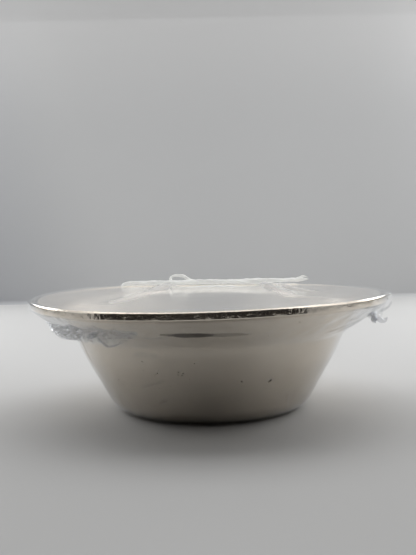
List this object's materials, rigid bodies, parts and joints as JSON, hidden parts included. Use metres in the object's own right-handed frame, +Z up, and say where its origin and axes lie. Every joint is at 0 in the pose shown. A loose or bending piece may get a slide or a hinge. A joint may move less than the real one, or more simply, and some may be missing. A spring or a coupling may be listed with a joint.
{
  "type": "offering bowl",
  "caption": "Shallow round metal offering bowl with a leaning wall, a broad brim, a hemmed rim and a flat base, sealed in clear shrink film whose top panel lifts off.",
  "frame": {"origin": "middle of the base, on the surface that the bowl stands on", "axes": "+Z up along the bowl's axis, +X to the right and +Y away from a viewer in front"},
  "size_m": [0.1567, 0.1566, 0.0546],
  "materials": {
    "steel": "satin, worn polish",
    "film": "clear gloss"
  },
  "bodies": {
    "bowl": {"bowl_shell": "steel", "film_wrap": "film", "film_ear_left": "film", "film_ear_right": "film"},
    "cover": {"film_cover": "film", "film_twist": "film"}
  },
  "joints": [
    {"name": "film_lift", "type": "slide", "parent": "bowl", "child": "cover", "axis": [0, 0, 1], "range_m": [0, 0.08]}
  ]
}
